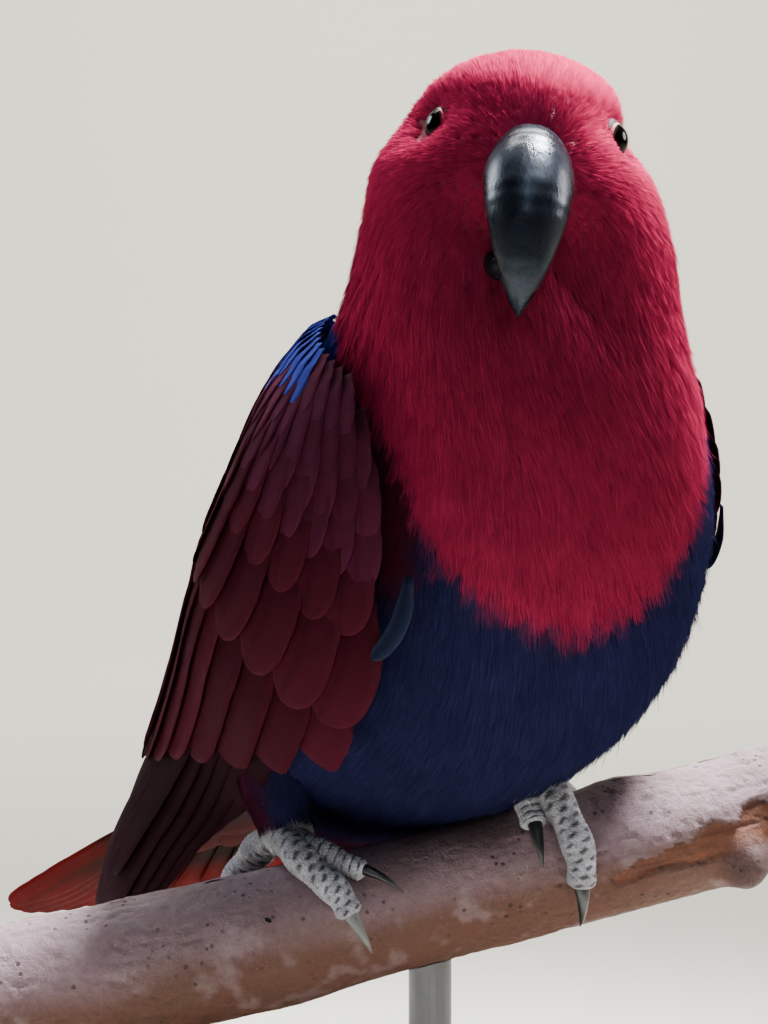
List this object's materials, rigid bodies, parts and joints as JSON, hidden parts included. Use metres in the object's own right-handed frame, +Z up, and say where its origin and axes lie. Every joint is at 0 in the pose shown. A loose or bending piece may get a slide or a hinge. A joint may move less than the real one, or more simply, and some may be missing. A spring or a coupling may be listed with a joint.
{
  "type": "eclectus parrot on a perch",
  "caption": "Life-size still model of a female eclectus parrot gripping a short cut branch, held on a flat base by one rod.",
  "frame": {"origin": "centre of the flat underside of the stand's base", "axes": "+Z up; +X along the branch's rise, to the right seen from the front; -Y towards the viewer whom the bird faces"},
  "size_m": [0.2238, 0.2321, 0.2631],
  "materials": {
    "red_plumage": "soft crimson body feathers",
    "blue_plumage": "soft dark blue belly feathers",
    "maroon_plumage": "close dark maroon wing and back feathers",
    "tail_plumage": "stiff red tail feathers",
    "horn": "smooth glossy blue-black horn",
    "eye": "wet glossy dark eye with a pale iris",
    "foot_skin": "dry grey scaled skin",
    "bark": "weathered pinkish-brown bark",
    "stand_wood": "dark satin wood",
    "stand_metal": "brushed metal rod"
  },
  "bodies": {
    "root": {"head": "red_plumage", "neck": "red_plumage", "breast": "red_plumage", "belly": "blue_plumage", "rump": "maroon_plumage", "tail": "tail_plumage", "wing_right": "maroon_plumage", "wing_left": "maroon_plumage", "eye_right": "eye", "eye_left": "eye", "bill_upper": "horn", "bill_lower": "horn", "shank_right": "foot_skin", "shank_left": "foot_skin", "perch": "bark", "stand_base": "stand_wood", "stand_rod": "stand_metal", "toe_right_inner_front": "foot_skin", "claw_right_inner_front": "horn", "toe_right_outer_front": "foot_skin", "claw_right_outer_front": "horn", "toe_right_outer_back": "foot_skin", "claw_right_outer_back": "horn", "toe_right_inner_back": "foot_skin", "claw_right_inner_back": "horn", "toe_left_inner_front": "foot_skin", "claw_left_inner_front": "horn", "toe_left_outer_front": "foot_skin", "claw_left_outer_front": "horn", "toe_left_outer_back": "foot_skin", "claw_left_outer_back": "horn", "toe_left_inner_back": "foot_skin", "claw_left_inner_back": "horn"}
  },
  "joints": []
}
